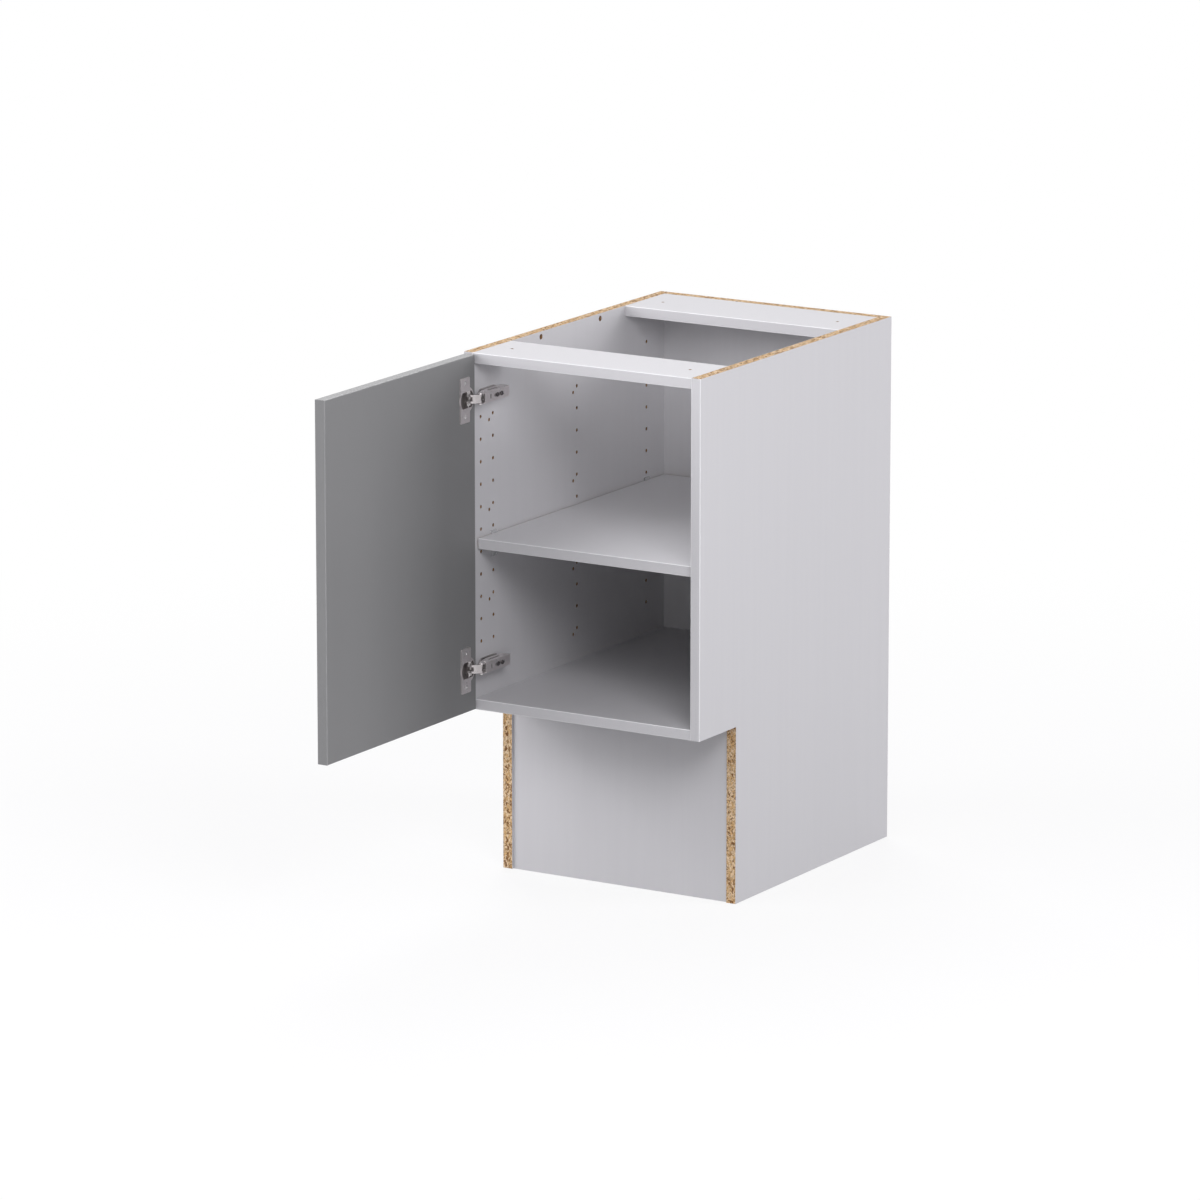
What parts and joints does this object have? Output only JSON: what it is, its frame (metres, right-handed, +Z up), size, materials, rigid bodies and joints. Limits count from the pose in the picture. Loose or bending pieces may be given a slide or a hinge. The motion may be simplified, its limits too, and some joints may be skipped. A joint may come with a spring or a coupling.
{
  "type": "kitchen base cabinet",
  "caption": "Narrow kitchen base cabinet with a tall recessed toe kick, an open top, a fixed shelf on clips and a slab door on concealed cup hinges.",
  "frame": {"origin": "floor level, middle of the cabinet's back face", "axes": "+X to the right seen from the front, +Y to the wall behind, +Z up"},
  "size_m": [0.381, 0.9149, 0.762],
  "materials": {
    "white_faced_chipboard": "white melamine on both faces, raw chipboard on the cut edges",
    "white_edge_band": "satin white plastic edge band",
    "grey_door_board": "mid grey melamine, satin",
    "grey_edge_band": "mid grey plastic edge band, satin",
    "beech_dowel": "plain beech",
    "clear_clip": "translucent clear plastic",
    "nickel_hinge": "nickel plated pressed steel",
    "steel_pin": "bright steel",
    "zinc_screw": "zinc plated steel"
  },
  "bodies": {
    "carcass": {"back_panel": "white_faced_chipboard", "back_panel_dowels": "beech_dowel", "bottom_edge_band": "white_edge_band", "bottom_panel": "white_faced_chipboard", "bottom_panel_dowels": "beech_dowel", "front_rail_dowels": "beech_dowel", "front_rail_edge_band": "white_edge_band", "front_top_rail": "white_faced_chipboard", "left_side_panel": "white_faced_chipboard", "lower_hinge_adjusting_screws": "zinc_screw", "lower_hinge_arm": "nickel_hinge", "lower_hinge_arm_pins": "steel_pin", "lower_hinge_mounting_plate": "nickel_hinge", "lower_hinge_plate_screws": "zinc_screw", "rear_rail_dowels": "beech_dowel", "rear_rail_edge_band": "white_edge_band", "rear_top_rail": "white_faced_chipboard", "right_side_panel": "white_faced_chipboard", "shelf": "white_faced_chipboard", "shelf_clip_front_left": "clear_clip", "shelf_clip_front_right": "clear_clip", "shelf_clip_rear_left": "clear_clip", "shelf_clip_rear_right": "clear_clip", "shelf_edge_band": "white_edge_band", "side_edge_bands": "white_edge_band", "toe_kick_board": "white_faced_chipboard", "toe_kick_dowels": "beech_dowel", "upper_hinge_adjusting_screws": "zinc_screw", "upper_hinge_arm": "nickel_hinge", "upper_hinge_arm_pins": "steel_pin", "upper_hinge_mounting_plate": "nickel_hinge", "upper_hinge_plate_screws": "zinc_screw"},
    "outer_links": {"lower_hinge_outer_link": "nickel_hinge", "upper_hinge_outer_link": "nickel_hinge"},
    "door": {"door_edge_bands": "grey_edge_band", "door_panel": "grey_door_board", "lower_hinge_cup": "nickel_hinge", "lower_hinge_cup_pins": "steel_pin", "lower_hinge_cup_screws": "zinc_screw", "upper_hinge_cup": "nickel_hinge", "upper_hinge_cup_pins": "steel_pin", "upper_hinge_cup_screws": "zinc_screw"},
    "inner_links": {"lower_hinge_inner_link": "nickel_hinge", "upper_hinge_inner_link": "nickel_hinge"}
  },
  "joints": [
    {"name": "outer_link_swing", "type": "hinge", "parent": "carcass", "child": "outer_links", "pos_m": [-0.16124, -0.52791, 0.508], "axis": [0, 0, 1], "range_deg": [-27.67, 4.65]},
    {"name": "door_swing", "type": "hinge", "parent": "outer_links", "child": "door", "pos_m": [-0.173, -0.5459, 0.508], "axis": [0, 0, 1], "range_deg": [-19.6, 117.62]},
    {"name": "inner_link_swing", "type": "hinge", "parent": "door", "child": "inner_links", "pos_m": [-0.1725, -0.5509, 0.508], "axis": [0, 0, 1], "range_deg": [-134.9, 22.52]}
  ],
  "couplings": [
    {"joint": "outer_link_swing", "follows": "door_swing", "ratio": -0.23481},
    {"joint": "inner_link_swing", "follows": "door_swing", "ratio": -1.1465}
  ]
}
